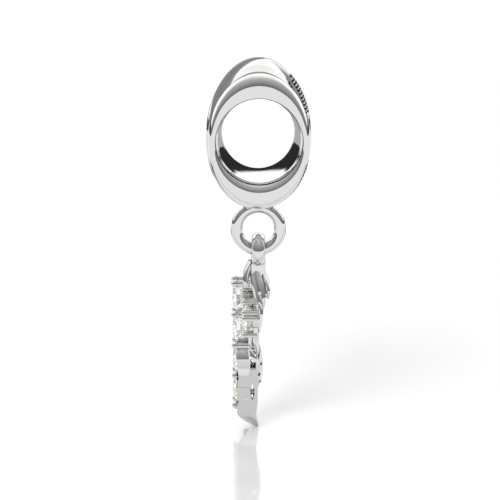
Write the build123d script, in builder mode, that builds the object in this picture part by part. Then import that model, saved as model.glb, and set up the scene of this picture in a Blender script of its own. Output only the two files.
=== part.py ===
from build123d import *
from math import atan, cos, degrees, radians, sin, sqrt
import os

# Slide-on dangle charm: an oval bead with a big round bore, a plain ring soldered under it,
# and a stone-set drop that hangs in the ring by its own eyelet.
# Millimetres. X runs across the bead, from the drop's front (minus) to its back (plus).
# Y is the bore's axis and Z is up. The origin is the middle of the bore.

# Bead
bore_radius = 2.20
bead_length = 6.8
rim_half_width = 2.80
rim_half_height = 3.67
oval_drop = 0.08
rim_length = 1.10
rim_round_depth = 0.60
outer_round_side = 0.26
outer_round_top = 0.62
mouth_round_side = 0.26
mouth_round_top = 0.12
mouth_round_bottom = 0.60

# Raised middle of the bead, between the rims
groove_depth = 0.20
middle_sink = 0.15
swell_side = -0.02
swell_top = 0.81
swell_bottom = 0.28

# The two straps that cross over it
strap_side = 0.18
strap_top = 0.86
strap_bottom = 0.36
under_strap_step = 0.04
strap_mid_half_width = 0.80
strap_end_half_width = 0.42
strap_turn = 26.0

# Ring soldered under the bead
ring_radius = 1.30
ring_wire_radius = 0.35
ring_sink = 0.19

# Eyelet and neck of the drop
eyelet_clearance = 0.10
eyelet_band = 0.57
eyelet_thickness = 0.80
neck_width = 0.86
neck_breadth = 1.00
neck_top_below = 0.74
neck_bottom_below = 1.75
neck_round = 0.12

# Stones
row_stone_diameter = 1.62
side_stone_diameter = 1.66
stone_gap = 0.03
crown_share = 0.150
girdle_share = 0.030
pavilion_share = 0.430
table_share = 0.28
culet_hole_radius = 0.16
culet_hole_depth = 0.15
star_tilt = 22.0
upper_half_tilt = 41.0
lower_half_extra_tilt = 2.0

# Row of heads down the middle of the drop
row_count = 4
row_open_count = 2
row_pitch = 1.98
row_first_claw_below = 2.00
row_girdle_front = 1.29
head_wall = 0.10
head_lip = 0.04
head_depth = 0.76
open_head_radius = 0.60
open_head_depth = 0.34
claw_radius = 0.19
claw_tip_radius = 0.25
claw_half_spread = 0.50
claw_rise = 0.10

# Side heads
side_offset = 1.66
side_below = 3.76
side_girdle_front = 0.69
side_base_radius = 0.62
side_base_front = 0.36
side_base_back = 0.08
arm_width = 0.46
arm_front = 0.30
arm_back = 0.02
split_claw_radius = 0.15
split_claw_half_pitch = 0.17
split_claw_gap = 0.02
split_claw_tip_radius = 0.17
split_claw_rise = 0.14
upper_claw_angle = 25.0

# Spine, gallery, dome and foot of the drop
drop_length = 11.55
spine_top_below = 1.20
spine_half_breadth = 0.62
spine_neck_half_breadth = 0.42
spine_neck_below = 3.20
spine_shoulder_below = 3.90
back_reach = 0.30
gallery_front = 0.60
gallery_back = 0.02
gallery_half_breadth = 0.84
gallery_top_below = 5.70
shoulder_front_below = 5.09
shoulder_back_below = 5.98
shoulder_fall = 0.76
gallery_bottom_below = 9.70
gallery_side_wall = 0.30
gallery_face_wall = 0.10
gallery_end_wall = 0.15
head_root = 0.08
claw_root = 0.12
arm_root = 0.05
dome_sink = 0.06
window_width = 0.36
window_height = 1.65
window_below = 6.60
window_bar = 0.20
window_bar_turn = 35.0
marquise_length = 1.10
marquise_width = 0.26
marquise_below = 8.90
marquise_forward = 0.04
dome_depth = 0.40
dome_half_breadth = 0.79
dome_half_height = 1.45
dome_below = 7.45
azure_radius = 0.11
foot_front = 1.30
foot_heel_below = 10.40
foot_edge_below = 10.55
foot_edge_half_breadth = 0.78
tip_half_breadth = 0.08
cut_overrun = 0.05

# Leaves and shoulder braces of the near side. Roots and tips are places: X, Y and distance
# below the hinge.
middle_leaf_root = (-0.30, -0.34, 1.12)
middle_leaf_tip = (0.27, -1.20, 3.38)
middle_leaf_width = 0.68
middle_leaf_thickness = 0.30
rear_leaf_root = (0.17, -0.30, 1.30)
rear_leaf_tip = (0.60, -0.98, 2.80)
rear_leaf_width = 0.48
rear_leaf_thickness = 0.28
rear_leaf_bow = (0.0, -0.10, 0.06)
rear_leaf_side = (1, 0, 0.36)
front_leaf_root = (-0.47, -0.30, 0.68)
front_leaf_tip = (-0.74, -0.76, 2.20)
front_leaf_width = 0.36
front_leaf_thickness = 0.30
front_leaf_bow = (-0.12, -0.05, 0.0)
front_leaf_side = (1, 0, 0.2)
brace_root = (-0.14, -side_offset, 4.66)
brace_tip = (-0.26, -0.69, 6.05)
brace_width = 0.30
brace_thickness = 0.42
brace_bow = (0.06, -0.12, -0.1)
brace_side = (0, 1, 0.3)

os.makedirs("parts", exist_ok=True)

half_bead = bead_length / 2
rim_centre = -oval_drop
middle_half = half_bead - rim_length + middle_sink
middle_bottom = rim_half_height + oval_drop + swell_bottom
ring_centre = -(middle_bottom - ring_sink) - ring_wire_radius - ring_radius
hinge_height = ring_centre - ring_radius
facing_front = (0, -90, 0)


def hung(below):
    """Height of a place on the drop, from its distance below the hinge."""
    return hinge_height - below


def nose_sections(count):
    """Depth behind the face and share of the rounding left, along a quarter of an ellipse."""
    rows = []
    for step in range(count + 1):
        turn = radians(90 * step / count)
        rows.append((rim_round_depth * (1 - cos(turn)), 1 - sin(turn)))
    return rows


def end_plane(end, depth, height):
    """Upright plane across the bore, facing out of one end, at a depth behind its face."""
    return Plane((0, end * (half_bead - depth), height), x_dir=(1, 0, 0), z_dir=(0, end, 0))


def rim_solid(end):
    """One fat rim, whose nose rounds over more at the top and bottom than at the sides."""
    with BuildPart() as rim:
        for depth, left in nose_sections(4):
            with BuildSketch(end_plane(end, depth, rim_centre)):
                Ellipse(rim_half_width - outer_round_side * left,
                        rim_half_height - outer_round_top * left)
        loft()
        with BuildSketch(end_plane(end, rim_round_depth, rim_centre)):
            Ellipse(rim_half_width, rim_half_height)
        extrude(amount=rim_round_depth - rim_length)
    return rim.part


def mouth_cutter(end):
    """The rounded mouth of the bore at one end, rounded more below than above."""
    half_round = (mouth_round_top + mouth_round_bottom) / 2
    with BuildPart() as mouth:
        for depth, left in nose_sections(4):
            with BuildSketch(end_plane(end, depth, (mouth_round_top - half_round) * left)):
                Ellipse(bore_radius + mouth_round_side * left, bore_radius + half_round * left)
        loft()
    return mouth.part


# Along the middle, from its near end to its far end: share of its half length, and share of the
# reach beyond the rims.
MIDDLE = ((-1, 0), (-0.8, 0.38), (-0.6, 0.74), (-0.35, 0.96), (0, 1), (0.35, 0.96), (0.6, 0.74),
          (0.8, 0.38), (1, 0))
STRAP = ((-1, 0.94), (-0.5, 0.985), (0, 1), (0.5, 0.985), (1, 0.94))


def swollen(side, above, below, profile):
    """Oval body between the rims, which reaches beyond them by side, above and below at its crest."""
    with BuildPart() as middle:
        for share, swell in profile:
            half_width = rim_half_width - groove_depth + (groove_depth + side) * swell
            top = rim_half_height - oval_drop - groove_depth + (groove_depth + above) * swell
            bottom = rim_half_height + oval_drop - groove_depth + (groove_depth + below) * swell
            station = Plane((0, share * middle_half, (top - bottom) / 2), x_dir=(1, 0, 0),
                            z_dir=(0, 1, 0))
            with BuildSketch(station):
                Ellipse(half_width, (top + bottom) / 2)
        loft()
    return middle.part


def strap_solid(step, turn):
    """One strap, a lens-shaped stripe in plan turned about Z, with steep sides."""
    reach = 1.4 * rim_half_width
    body = swollen(strap_side - step, strap_top - step, strap_bottom - step, STRAP)
    with BuildPart() as strap:
        with BuildSketch(Plane.XY.offset(-2 * rim_half_height)):
            with BuildLine(Plane.XY.rotated((0, 0, turn))):
                near = ThreePointArc((-reach, -strap_end_half_width), (0, -strap_mid_half_width),
                                     (reach, -strap_end_half_width))
                far = ThreePointArc((reach, strap_end_half_width), (0, strap_mid_half_width),
                                    (-reach, strap_end_half_width))
                Line(near @ 1, far @ 0)
                Line(far @ 1, near @ 0)
            make_face()
        extrude(amount=4 * rim_half_height)
        add(body, mode=Mode.INTERSECT)
    return strap.part


def facet(azimuth, tilt, reach, height):
    """Plane of one facet of a stone whose table faces up."""
    lean = radians(tilt)
    turn = radians(azimuth)
    return Plane((reach * cos(turn), reach * sin(turn), height),
                 z_dir=(sin(lean) * cos(turn), sin(lean) * sin(turn), cos(lean)))


def brilliant(diameter):
    """Round brilliant with its table up and the middle of its girdle at the origin."""
    radius = diameter / 2
    girdle = girdle_share * diameter / 2
    table_radius = table_share * diameter
    crown = crown_share * diameter
    pavilion = pavilion_share * diameter
    crown_tilt = degrees(atan(crown / (radius - table_radius)))
    pavilion_tilt = degrees(atan(pavilion / radius))
    sixteenth = 360 / 16
    star_reach = table_radius * cos(radians(sixteenth))
    edge_reach = radius * cos(radians(sixteenth / 2))
    with BuildPart() as stone:
        with BuildSketch(Plane.XY.offset(-girdle - pavilion)):
            RegularPolygon(radius, 16)
        extrude(amount=pavilion + 2 * girdle + crown)
        for step in range(8):
            main = 2 * sixteenth * step
            split(bisect_by=facet(main, crown_tilt, radius, girdle), keep=Keep.BOTTOM)
            split(bisect_by=facet(main + sixteenth, star_tilt, star_reach, girdle + crown),
                  keep=Keep.BOTTOM)
            split(bisect_by=facet(main, 180 - pavilion_tilt, radius, -girdle), keep=Keep.BOTTOM)
            for half in (0.5 * sixteenth, 1.5 * sixteenth):
                split(bisect_by=facet(main + half, upper_half_tilt, edge_reach, girdle),
                      keep=Keep.BOTTOM)
                lower_tilt = 180 - pavilion_tilt - lower_half_extra_tilt
                split(bisect_by=facet(main + half, lower_tilt, edge_reach, -girdle),
                      keep=Keep.BOTTOM)
    return stone.part


def seat_cutter(diameter):
    """Room for a stone in its head: the stone's own form with a small gap, open to the front
    and, through a hole under the culet, to the back."""
    radius = diameter / 2 + stone_gap
    girdle = girdle_share * diameter / 2 + stone_gap
    depth = pavilion_share * diameter
    hole_top = girdle + depth * (1 - culet_hole_radius / radius)
    hole_end = girdle + depth + culet_hole_depth
    with BuildPart() as seat:
        with BuildSketch(Plane.XZ):
            with BuildLine():
                Polyline((0, -hole_end), (culet_hole_radius, -hole_end),
                         (culet_hole_radius, -hole_top), (radius, -girdle), (radius, diameter),
                         (0, diameter), (0, -hole_end))
            make_face()
        revolve(axis=Axis.Z)
    return seat.part


# A leaf's section, as shares of its half width and half thickness: two ridges and a groove.
FLUTED = ((-1.0, 0.0), (-0.55, 0.9), (-0.15, 0.25), (0.35, 1.0), (1.0, 0.1), (0.35, -0.8),
          (-0.5, -0.8))
PLAIN = ((-1.0, 0.0), (0.0, 1.0), (1.0, 0.0), (0.0, -1.0))

# Along a leaf: share of its length, of its width, of its thickness, and of its bow.
REAR_LEAF = ((0.0, 0.86, 0.9, 0.0), (0.4, 1.0, 1.0, 0.8), (0.75, 0.96, 1.0, 0.7),
             (1.0, 0.34, 0.5, 0.0))
FRONT_LEAF = ((0.0, 0.5, 0.9, 0.0), (0.45, 1.0, 1.0, 1.0), (0.8, 1.0, 0.9, 0.7),
              (1.0, 0.5, 0.5, 0.0))
BRACE = ((0.0, 0.8, 0.8, 0.0), (0.5, 1.0, 1.0, 1.0), (1.0, 0.8, 1.0, 0.0))


def leaf(root, tip, side, width, thickness, section, stations, bow):
    """Solid lofted along the line from root to tip, with its width along side."""
    start = Vector(root[0], root[1], hung(root[2]))
    run = Vector(tip[0], tip[1], hung(tip[2])) - start
    bend = Vector(*bow)
    with BuildPart() as blade:
        for along, width_share, thickness_share, bow_share in stations:
            centre = start + run * along + bend * bow_share
            across = Vector(*side) - run * (Vector(*side).dot(run) / run.dot(run))
            with BuildSketch(Plane(centre, x_dir=across, z_dir=run)):
                Polygon(*[(u * width_share * width / 2, v * thickness_share * thickness / 2)
                          for u, v in section], align=None)
        loft(ruled=True)
    return blade.part


# Holes in the dome: share of its half height below its middle, and turn from the back to the side.
AZURES = ((-0.62, 62.0), (-0.22, 48.0), (0.22, 62.0), (0.60, 48.0))

# Bead with its straps and the soldered ring
rims = [rim_solid(1), rim_solid(-1)]
mouths = [mouth_cutter(1), mouth_cutter(-1)]
middle_body = swollen(swell_side, swell_top, swell_bottom, MIDDLE)
straps = [strap_solid(0, strap_turn), strap_solid(under_strap_step, -strap_turn)]

with BuildPart() as bead_bail:
    add(middle_body)
    add(straps)
    add(rims)
    with Locations((0, 0, ring_centre)):
        Torus(ring_radius, ring_wire_radius, rotation=(90, 0, 0))
    Cylinder(bore_radius, 1.1 * bead_length, rotation=(90, 0, 0), mode=Mode.SUBTRACT)
    add(mouths, mode=Mode.SUBTRACT)
bead_bail.part.label = "bead_bail"
export_step(bead_bail.part, "parts/bead_bail.step")

# Places of the stones and claws on the drop
row_radius = row_stone_diameter / 2
row_places = [(-row_girdle_front, 0, hung(row_first_claw_below + (step + 0.5) * row_pitch))
              for step in range(row_count)]
claw_places = [(side, hung(row_first_claw_below + step * row_pitch))
               for step in range(row_count + 1) for side in (-1, 1)]
side_places = [(-side_girdle_front, side * side_offset, hung(side_below)) for side in (-1, 1)]
split_claw_reach = side_stone_diameter / 2 + split_claw_gap + split_claw_tip_radius

# Stones
row_brilliant = brilliant(row_stone_diameter)
side_brilliant = brilliant(side_stone_diameter)
stone_names = ["stone_%d" % (step + 1) for step in range(row_count)]
stone_names = stone_names + ["side_stone_near", "side_stone_far"]
stone_models = [row_brilliant] * row_count + [side_brilliant] * 2
for stone_name, place, model in zip(stone_names, row_places + side_places, stone_models):
    with BuildPart() as stone:
        with Locations(place):
            add(model, rotation=facing_front)
    stone.part.label = stone_name
    export_step(stone.part, "parts/" + stone_name + ".step")

# Leaves and braces of the drop, on its near side
middle_leaf = leaf(middle_leaf_root, middle_leaf_tip, rear_leaf_side, middle_leaf_width,
                   middle_leaf_thickness, FLUTED, REAR_LEAF, rear_leaf_bow)
rear_leaf = leaf(rear_leaf_root, rear_leaf_tip, rear_leaf_side, rear_leaf_width,
                 rear_leaf_thickness, FLUTED, REAR_LEAF, rear_leaf_bow)
front_leaf = leaf(front_leaf_root, front_leaf_tip, front_leaf_side, front_leaf_width,
                  front_leaf_thickness, PLAIN, FRONT_LEAF, front_leaf_bow)
brace = leaf(brace_root, brace_tip, brace_side, brace_width, brace_thickness, PLAIN, BRACE, brace_bow)


def peg(place, outward, back, radius, tip_radius):
    """One claw: a round wire running back from its place, with a round head at the front.
    The wire's seam faces outward, away from the stone."""
    length = back - place[0]
    throat = sqrt(tip_radius * tip_radius - radius * radius)
    across = Plane(place, x_dir=(1, 0, 0), z_dir=Vector(1, 0, 0).cross(Vector(*outward)))
    with BuildPart() as claw:
        with BuildSketch(across):
            with BuildLine():
                nose = ThreePointArc((-tip_radius, 0), (0, tip_radius), (throat, radius))
                Polyline(nose @ 1, (length, radius), (length, 0), nose @ 0)
            make_face()
        revolve(axis=Axis(place, (1, 0, 0)))
    return claw.part


def disc(across, height, front, back, radius):
    """A round block across the drop, between two depths."""
    with BuildPart() as block:
        with BuildSketch(Plane.YZ.offset(front)):
            with Locations((across, height)):
                Circle(radius)
        extrude(amount=back - front)
    return block.part


def row_head(step, height):
    """The metal behind one stone of the row: an open base above, a closed cup below."""
    if step < row_open_count:
        return disc(0, height, -gallery_front - open_head_depth, -gallery_front + head_root,
                    open_head_radius)
    front = -row_girdle_front - head_lip
    return disc(0, height, front, front + head_depth, row_radius + stone_gap + head_wall)


def side_arms():
    """The plate behind the near side stone, with an arm to each pair of claws and to the spine."""
    with BuildPart() as plate:
        with BuildSketch(Plane.YZ.offset(-arm_front)):
            with Locations((-side_offset, hung(side_below))):
                Rectangle(arm_width, 2 * split_claw_reach)
                Rectangle(split_claw_reach, arm_width, rotation=180 - upper_claw_angle,
                          align=(Align.MIN, Align.CENTER))
            with Locations((-side_offset / 2, hung(side_below))):
                Rectangle(side_offset, arm_width)
        extrude(amount=arm_front - arm_back)
    return plate.part


def side_claws():
    """The near side head's claws, a pair of fine wires at each of four places."""
    claws = []
    front = -side_girdle_front - split_claw_rise
    for angle in (0, 90, 180 - upper_claw_angle, 270):
        turn = radians(angle)
        for spread in (-split_claw_half_pitch, split_claw_half_pitch):
            across = -side_offset + split_claw_reach * cos(turn) - spread * sin(turn)
            height = hung(side_below) + split_claw_reach * sin(turn) + spread * cos(turn)
            claws.append(peg((front, across, height), (0, cos(turn), sin(turn)),
                             -arm_back - arm_root, split_claw_radius, split_claw_tip_radius))
    return claws


# The spine's back in side view: share of the drop's length, and share of its reach behind the
# hinge. The foot's outline: share of its reach to the front, and share of the drop's length.
BACK = ((0.139, 0.95), (0.300, 1.0), (0.360, 0.95), (0.420, 0.55), (0.450, 0.07))
FOOT = ((0.10, 0.90), (-0.046, 0.985), (0.0, 1.0), (0.27, 0.987), (0.69, 0.952))

SPINE_FRONT = ((0, spine_top_below), (spine_neck_half_breadth, spine_top_below),
               (spine_neck_half_breadth, spine_neck_below), (spine_half_breadth, spine_shoulder_below),
               (spine_half_breadth, gallery_bottom_below), (0, gallery_bottom_below))
GALLERY_FRONT = ((0, spine_top_below), (gallery_half_breadth, spine_top_below),
                 (gallery_half_breadth, gallery_bottom_below),
                 (foot_edge_half_breadth, foot_edge_below),
                 (tip_half_breadth, drop_length + cut_overrun), (0, drop_length + cut_overrun))


def profiled(half_outline):
    """The drop's side outline, cut to a front outline given by half: distance across and below."""
    with BuildPart() as body:
        with BuildSketch(Plane.XZ.offset(-gallery_half_breadth)):
            with BuildLine():
                rear = Spline(*[(reach * back_reach, hung(below * drop_length))
                                for below, reach in BACK])
                foot = [(-front * foot_front, hung(below * drop_length)) for front, below in FOOT]
                Polyline(rear @ 1, (-gallery_back, hung(gallery_bottom_below)), *foot,
                         (-foot_front, hung(foot_heel_below)),
                         (-foot_front, hung(gallery_bottom_below)),
                         (-gallery_front, hung(gallery_bottom_below)),
                         (-gallery_front, hung(BACK[0][0] * drop_length)), rear @ 0)
            make_face()
        extrude(amount=2 * gallery_half_breadth)
        with BuildSketch(Plane.YZ.offset(-2 * foot_front)):
            with BuildLine():
                Polyline(*[(across, hung(below)) for across, below in half_outline])
                mirror(about=Plane.YZ)
            make_face()
        extrude(amount=4 * foot_front, mode=Mode.INTERSECT)
    return body.part


def shoulder_plane(side):
    """The slanting facet where the gallery widens out of the spine, on one side of the drop."""
    along = Vector(gallery_front - gallery_back, 0, shoulder_front_below - shoulder_back_below)
    down = Vector(0, side * (gallery_half_breadth - spine_half_breadth), -shoulder_fall)
    return Plane((-gallery_front, side * spine_half_breadth, hung(shoulder_front_below)),
                 x_dir=along, z_dir=down.cross(along) * -side)


with BuildPart() as spine:
    add(profiled(GALLERY_FRONT))
    for side in (-1, 1):
        split(bisect_by=shoulder_plane(side), keep=Keep.BOTTOM)
    add(profiled(SPINE_FRONT))

with BuildPart() as eyelet:
    with BuildSketch(Plane((0, 0, hinge_height), x_dir=(1, 0, 0), z_dir=(0, -1, 0))):
        with Locations((0, ring_wire_radius + eyelet_clearance + eyelet_band / 2)):
            Ellipse(eyelet_thickness / 2, eyelet_band / 2)
    revolve(axis=Axis((0, 0, hinge_height), (1, 0, 0)))

with BuildPart() as neck:
    with Locations((0, 0, hung((neck_top_below + neck_bottom_below) / 2))):
        Box(neck_width, neck_breadth, neck_bottom_below - neck_top_below)
    fillet(neck.edges().filter_by(Axis.Z), neck_round)

dome_place = Location((-gallery_back - dome_sink, 0, hung(dome_below)))
dome = scale(Sphere(1), by=(dome_depth, dome_half_breadth, dome_half_height)).moved(dome_place)

heads = [row_head(step, place[2]) for step, place in enumerate(row_places)]
side_base = disc(-side_offset, hung(side_below), -side_base_front, side_base_back, side_base_radius)
near_side = [middle_leaf, rear_leaf, front_leaf, brace, side_base, side_arms()] + side_claws()
claw_front = -row_girdle_front - claw_rise
row_claws = [peg((claw_front, side * claw_half_spread, height), (0, side, 0),
                 -gallery_front + claw_root, claw_radius, claw_tip_radius)
             for side, height in claw_places]

seats = [seat_cutter(row_stone_diameter)] * row_count + [seat_cutter(side_stone_diameter)] * 2
window_middle = -(gallery_front + gallery_back) / 2

with BuildPart() as drop_frame:
    add(spine.part)
    add(dome)
    add(eyelet.part)
    add(neck.part)
    for solid in near_side:
        add([solid, solid.mirror(Plane.XZ)])
    add(heads)
    for claw in row_claws:
        add(claw)
    for place, model in zip(row_places + side_places, seats):
        with Locations(place):
            add(model, rotation=facing_front, mode=Mode.SUBTRACT)
    with Locations((window_middle, 0, hung((gallery_top_below + gallery_bottom_below) / 2))):
        Box(gallery_front - gallery_back - 2 * gallery_face_wall,
            2 * (gallery_half_breadth - gallery_side_wall),
            gallery_bottom_below - gallery_top_below - 2 * gallery_end_wall, mode=Mode.SUBTRACT)
    with BuildSketch(Plane.XZ.offset(-2 * gallery_half_breadth)):
        with Locations((window_middle, hung(window_below))):
            SlotOverall(window_height, window_width, rotation=90)
            Rectangle(window_bar, 2 * window_width, rotation=window_bar_turn, mode=Mode.SUBTRACT)
    extrude(amount=4 * gallery_half_breadth, mode=Mode.SUBTRACT)
    with BuildSketch(Plane.XZ.offset(-2 * gallery_half_breadth)):
        with BuildLine(Plane((window_middle - marquise_forward, hung(marquise_below)))):
            bow = ThreePointArc((0, -marquise_length / 2), (marquise_width / 2, 0),
                                (0, marquise_length / 2))
            ThreePointArc(bow @ 1, (-marquise_width / 2, 0), bow @ 0)
        make_face()
    extrude(amount=4 * gallery_half_breadth, mode=Mode.SUBTRACT)
    for drop_by, turn in AZURES:
        for side in (-1, 1):
            direction = (cos(radians(turn)), side * sin(radians(turn)), 0)
            with BuildSketch(Plane((window_middle, 0, hung(dome_below + drop_by * dome_half_height)),
                                   z_dir=direction)):
                Circle(azure_radius)
            extrude(amount=2, mode=Mode.SUBTRACT)
drop_frame.part.label = "drop_frame"
export_step(drop_frame.part, "parts/drop_frame.step")
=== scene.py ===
"""Slide-on bracelet charm in polished, rhodium-plated silver, with a stone-set drop.

The bead with its soldered ring is one body and the drop that hangs in the ring is the other.
Sizes in the classes below are millimetres; meshes are made in metres, in the frame of the part.
"""

import logging
import math
from collections.abc import Callable, Iterator, Sequence
from contextlib import contextmanager
from dataclasses import dataclass
from enum import Enum
from itertools import product
from typing import Any

import bpy
from mathutils import Matrix, Vector


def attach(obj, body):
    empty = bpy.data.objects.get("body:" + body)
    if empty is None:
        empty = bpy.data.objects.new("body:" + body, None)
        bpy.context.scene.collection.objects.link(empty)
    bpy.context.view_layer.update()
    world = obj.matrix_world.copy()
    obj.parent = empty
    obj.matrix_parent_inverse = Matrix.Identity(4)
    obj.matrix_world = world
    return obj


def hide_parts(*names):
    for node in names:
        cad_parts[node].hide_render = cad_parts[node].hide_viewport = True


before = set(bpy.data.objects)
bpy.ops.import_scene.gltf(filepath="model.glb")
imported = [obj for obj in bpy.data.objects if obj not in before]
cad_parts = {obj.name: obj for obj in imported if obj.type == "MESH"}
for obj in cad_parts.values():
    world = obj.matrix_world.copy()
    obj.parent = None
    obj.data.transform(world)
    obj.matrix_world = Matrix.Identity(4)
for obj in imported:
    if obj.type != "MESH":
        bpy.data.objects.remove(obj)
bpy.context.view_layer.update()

LOG = logging.getLogger("charm")
MM = 0.001
HINGE_HEIGHT = -6.79
WHITE = "FFFFFF"
Point = tuple[float, float, float]
Outline = Sequence[tuple[float, float]]
Piece = bpy.types.Object
Material = bpy.types.Material
Tree = bpy.types.NodeTree
Socket = bpy.types.NodeSocket


def hung(below: float) -> float:
    """Gives the height of a place on the drop, from its distance below the hinge."""
    return HINGE_HEIGHT - below


def linear(hex_code: str) -> tuple[float, float, float, float]:
    """Turns an sRGB hex colour into linear light.

    Args:
        hex_code: Six hex digits, as in "DDDCDA".

    Returns:
        Red, green, blue and an alpha of one.
    """
    parts = [int(hex_code[place:place + 2], 16) / 255 for place in (0, 2, 4)]
    light = [part / 12.92 if part <= 0.04045 else ((part + 0.055) / 1.055) ** 2.4 for part in parts]
    return (light[0], light[1], light[2], 1.0)


def add_node(tree: Tree, kind: str, inputs: dict[Any, Any] | None = None,
             links: dict[Any, Any] | None = None, **settings: Any) -> bpy.types.Node:
    """Adds one node with its settings, input values and incoming links.

    Args:
        tree: The node tree that the node joins.
        kind: The node's type name.
        inputs: Values by input name or number.
        links: Output sockets by input name or number.
        **settings: Properties of the node itself.

    Returns:
        The new node.
    """
    node = tree.nodes.new(kind)
    for name, value in settings.items():
        setattr(node, name, value)
    for name, value in (inputs or {}).items():
        node.inputs[name].default_value = value
    for name, socket in (links or {}).items():
        tree.links.new(socket, node.inputs[name])
    return node


def shape_ramp(node: bpy.types.Node, stops: Sequence[tuple[float, float]]) -> None:
    """Sets a colour ramp's stops.

    Args:
        node: The colour ramp.
        stops: Place and grey level of each stop, in order.
    """
    ramp = node.color_ramp
    while len(ramp.elements) < len(stops):
        ramp.elements.new(0.5)
    for element, (place, level) in zip(ramp.elements, stops):
        element.position = place
        element.color = (level, level, level, 1.0)


def new_material(name: str) -> tuple[Material, Tree]:
    """Makes an empty node material.

    Args:
        name: The material's name.

    Returns:
        The material and its node tree.
    """
    material = bpy.data.materials.new(name)
    material.use_nodes = True
    material.node_tree.nodes.clear()
    return material, material.node_tree


def add_surface(tree: Tree, shader: Socket) -> None:
    """Ends a material's nodes with the surface that it shows."""
    add_node(tree, "ShaderNodeOutputMaterial", links={"Surface": shader})


def add_noise(tree: Tree, size: float, detail: float) -> Socket:
    """Adds soft noise that is fixed to the piece.

    Args:
        tree: The node tree that it joins.
        size: Size of its patches in mm.
        detail: Number of its finer layers.

    Returns:
        Its grey level.
    """
    place = add_node(tree, "ShaderNodeTexCoord")
    noise = add_node(tree, "ShaderNodeTexNoise", {"Scale": 1 / (size * MM), "Detail": detail},
                     {"Vector": place.outputs["Object"]})
    return noise.outputs["Fac"]


def glowing_white(name: str, level: float) -> Material:
    """Makes a material that glows evenly white, for the studio's paper, card and flags.

    Args:
        name: The material's name.
        level: How strongly it glows.

    Returns:
        The material.
    """
    material, tree = new_material(name)
    glow = add_node(tree, "ShaderNodeEmission", {"Color": linear(WHITE), "Strength": level})
    add_surface(tree, glow.outputs["Emission"])
    return material


class Slot(Enum):
    """The name of the part record's material slot for the metal. Nothing in the script uses it."""

    SILVER = "silver"


class Body(Enum):
    """The two bodies of the part."""

    BEAD = "bead"
    DROP = "drop"


@dataclass(frozen=True)
class SilverFinish:
    """Sterling silver, cast, polished to a mirror and rhodium plated: a cool, slightly grey mirror."""

    name: str = "rhodium_plated_silver"
    colour: str = "DEDDDC"
    least_roughness: float = 0.025
    most_roughness: float = 0.06
    polish_grain: float = 0.35
    polish_detail: float = 4.0
    ripple: float = 1.6
    ripple_detail: float = 1.0
    ripple_depth: float = 0.0012

    def make(self) -> Material:
        """Builds the material.

        Returns:
            The material.
        """
        material, tree = new_material(self.name)
        # The buffing marks are too fine to see one by one: they only make the mirror a little softer.
        grain = add_noise(tree, self.polish_grain, self.polish_detail)
        rough = add_node(tree, "ShaderNodeMapRange",
                         {"To Min": self.least_roughness, "To Max": self.most_roughness},
                         {"Value": grain})
        # The wheel leaves a faint ripple, which bends the longer reflections.
        ripple = add_noise(tree, self.ripple, self.ripple_detail)
        bump = add_node(tree, "ShaderNodeBump", {"Strength": 1.0, "Distance": self.ripple_depth * MM},
                        {"Height": ripple})
        metal = add_node(tree, "ShaderNodeBsdfPrincipled",
                         {"Base Color": linear(self.colour), "Metallic": 1.0},
                         {"Roughness": rough.outputs["Result"], "Normal": bump.outputs["Normal"]})
        add_surface(tree, metal.outputs["BSDF"])
        return material


# Dark, rougher silver for sunken grains set between the bright grains: painted shade that darkens the
# crevices between them.
PAINTED_SHADE_SILVER = SilverFinish("painted_shade_silver_between_grains", "1A1A1B", least_roughness=0.16,
                               most_roughness=0.30)


@dataclass(frozen=True)
class CubicZirconia:
    """Cubic zirconia, faceted and polished: nearly colourless, with a faint tint. It isn't wholly clear,
    and it has a faint painted glow in its tint, which stands in for the light that its facets send back
    from all round."""

    name: str
    colour: str
    index: float = 2.15
    clearness: float = 0.94
    painted_glow: float = 0.07
    haze: float = 1.1
    haze_detail: float = 2.0

    def make(self) -> Material:
        """Builds the clear stone.

        Returns:
            The material.
        """
        material, tree = new_material(self.name)
        # The tint varies a little through the stone.
        haze = add_noise(tree, self.haze, self.haze_detail)
        tint = add_node(tree, "ShaderNodeMix", {6: linear(WHITE), 7: linear(self.colour)},
                        {"Factor": haze}, data_type="RGBA")
        # The stone glows faintly in its tint: a painted glow, not a lamp.
        stone = add_node(tree, "ShaderNodeBsdfPrincipled",
                         {"Roughness": 0.0, "IOR": self.index, "Transmission Weight": self.clearness,
                          "Emission Strength": self.painted_glow},
                         {"Base Color": tint.outputs[2], "Emission Color": tint.outputs[2]})
        add_surface(tree, stone.outputs["BSDF"])
        return material


class Axis(Enum):
    """The way a loft or a plate runs. Holds the turn that lays a flat circle across it."""

    X = (math.pi / 2, 0.0, math.pi / 2)
    Y = (math.pi / 2, 0.0, 0.0)
    Z = (0.0, 0.0, 0.0)

    def place(self, across: float, up: float, along: float) -> Vector:
        """Gives three values in the order of X, Y and Z.

        Args:
            across: The first value across the axis.
            up: The second value across the axis.
            along: The value along the axis.

        Returns:
            The three values.
        """
        if self is Axis.X:
            return Vector((along, across, up))
        if self is Axis.Y:
            return Vector((across, along, up))
        return Vector((across, up, along))


class Ends(Enum):
    """How a loft ends."""

    FILLED = "filled"
    JOINED = "joined"


class Cut(Enum):
    """How one solid changes another."""

    AWAY = "DIFFERENCE"
    SHARED = "INTERSECT"
    ADDED = "UNION"


@dataclass(frozen=True)
class Station:
    """One ring of a loft: its half sizes across and up, and its middle, in mm."""

    across: float
    up: float
    middle: Point


def start_piece(name: str, add: Callable[..., Any], **settings: Any) -> Piece:
    """Adds a primitive with nothing else selected and applies its place and turn.

    Args:
        name: The piece's name.
        add: The operator that adds the primitive.
        **settings: What the operator is given.

    Returns:
        The new piece, selected and active.
    """
    bpy.ops.object.select_all(action="DESELECT")
    add(**settings)
    piece = bpy.context.active_object
    piece.name = name
    piece.data.name = name
    bpy.ops.object.transform_apply(location=True, rotation=True, scale=True)
    return piece


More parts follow.
